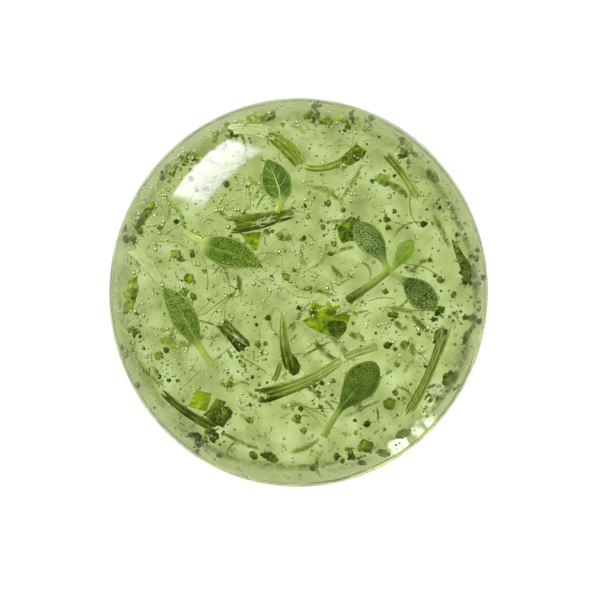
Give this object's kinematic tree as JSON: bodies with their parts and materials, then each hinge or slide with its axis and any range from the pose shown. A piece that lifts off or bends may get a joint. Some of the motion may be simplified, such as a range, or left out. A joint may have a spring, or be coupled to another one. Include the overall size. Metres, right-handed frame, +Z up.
{
  "type": "herb gel dome",
  "caption": "Round flat-bottomed dome of clear pale green gel with whole leaves, a leafy sprig, cut stem strips and chopped leaf set in it.",
  "frame": {"origin": "middle of the gel's flat underside, on the dome's axis", "axes": "+Z up through the top of the dome, +Y towards the top of the picture, along the slightly longer way of the oval plan"},
  "size_m": [0.0494, 0.0506, 0.0155],
  "materials": {
    "gel": "clear pale green gel, smooth and wet",
    "dark_leaf": "dark green leaf with fine veins, satin",
    "bright_leaf": "bright yellow-green chopped leaf, satin",
    "olive_stem": "olive green fibrous cut stem, satin",
    "pale_stem": "pale green fibrous stalk, satin"
  },
  "bodies": {
    "root": {"gel_lower": "gel", "gel_upper": "gel", "leaf_top": "dark_leaf", "leaf_left": "dark_leaf", "leaf_lower_left": "dark_leaf", "leaf_bottom": "dark_leaf", "sprig_stem": "pale_stem", "sprig_leaf_upper": "dark_leaf", "sprig_leaf_small": "dark_leaf", "sprig_leaf_right": "dark_leaf", "strip_long": "olive_stem", "strip_long_tip": "pale_stem", "strip_wet": "olive_stem", "strip_short": "olive_stem", "strip_middle": "olive_stem", "strip_right": "olive_stem", "strip_upper_right": "olive_stem", "strip_lower_left": "olive_stem", "strip_top_pale": "pale_stem", "strip_top_olive": "olive_stem", "stalk_top": "pale_stem", "stalk_left": "pale_stem", "stalk_middle": "pale_stem", "fold_under_strip": "bright_leaf", "fold_middle": "olive_stem", "fold_right": "olive_stem", "piece_square": "bright_leaf", "piece_toothed": "bright_leaf", "piece_crumpled": "bright_leaf", "piece_folded": "dark_leaf", "piece_behind_sprig": "bright_leaf", "piece_bright_top": "bright_leaf", "piece_left": "bright_leaf", "piece_right": "olive_stem", "piece_far_left": "olive_stem", "piece_top_right": "olive_stem", "piece_top_left_rim": "olive_stem", "piece_top_rim": "olive_stem", "piece_upper_rim": "olive_stem", "piece_upper_right_rim": "olive_stem", "piece_lower_rim": "dark_leaf", "piece_low_left": "dark_leaf", "piece_low_right": "dark_leaf", "seed_large": "dark_leaf", "seed_small": "dark_leaf", "flake_lower": "dark_leaf", "flake_right": "dark_leaf", "flake_strip_end": "dark_leaf", "flake_middle": "dark_leaf", "flake_left": "bright_leaf", "flake_right_rim": "dark_leaf", "flake_far_right": "dark_leaf"}
  },
  "joints": []
}
